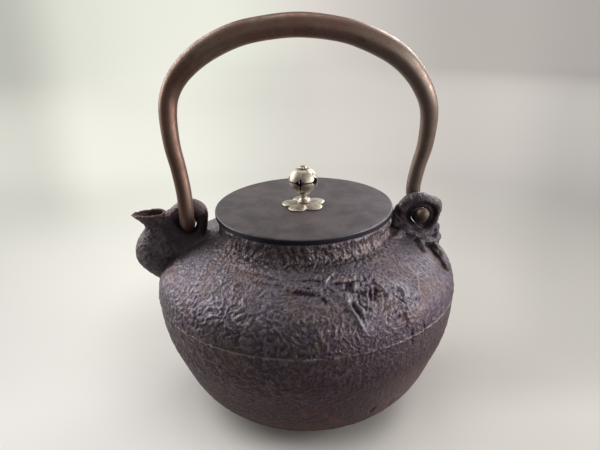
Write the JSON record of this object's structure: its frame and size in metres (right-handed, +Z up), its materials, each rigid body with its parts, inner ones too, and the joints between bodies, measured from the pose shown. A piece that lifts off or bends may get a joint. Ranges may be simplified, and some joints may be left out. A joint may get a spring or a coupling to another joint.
{
  "type": "tetsubin",
  "caption": "Cast iron water kettle with a short side spout, a flat lid with a pierced plum bud knob, branch-shaped lugs and a bronze bail handle that hooks into them.",
  "frame": {"origin": "middle of the flat base, on the surface that the kettle stands on", "axes": "+Z up, towards the handle; -X towards the spout; the handle's arch lies in the XZ plane"},
  "size_m": [0.1902, 0.177, 0.2323],
  "materials": {
    "iron": "as cast, dark brown lacquer, rust at the foot",
    "patina": "dark brown patina, satin",
    "bronze": "worn brown patina",
    "silver": "pale, worn bright"
  },
  "bodies": {
    "kettle": {"kettle_shell": "iron", "spout": "iron", "front_lug": "iron", "rear_lug": "iron"},
    "handle": {"bail_handle": "bronze"},
    "lid": {"lid": "patina", "petal_washer": "silver", "knob_collar": "silver", "knob_rivet": "silver", "rivet_rosette": "silver", "rivet_burr": "silver"},
    "bud": {"bud_cup": "silver", "bud_crown": "silver"}
  },
  "joints": [
    {"name": "handle_rock", "type": "hinge", "parent": "kettle", "child": "handle", "pos_m": [0, 0, 0.11562], "axis": [1, 0, 0], "range_deg": [-12, 12]},
    {"name": "lid_lift", "type": "slide", "parent": "kettle", "child": "lid", "axis": [0, 0, 1], "range_m": [0, 0.055]},
    {"name": "bud_turn", "type": "hinge", "parent": "lid", "child": "bud", "pos_m": [0, 0, 0.1401], "axis": [0, 0, 1], "continuous": true}
  ]
}
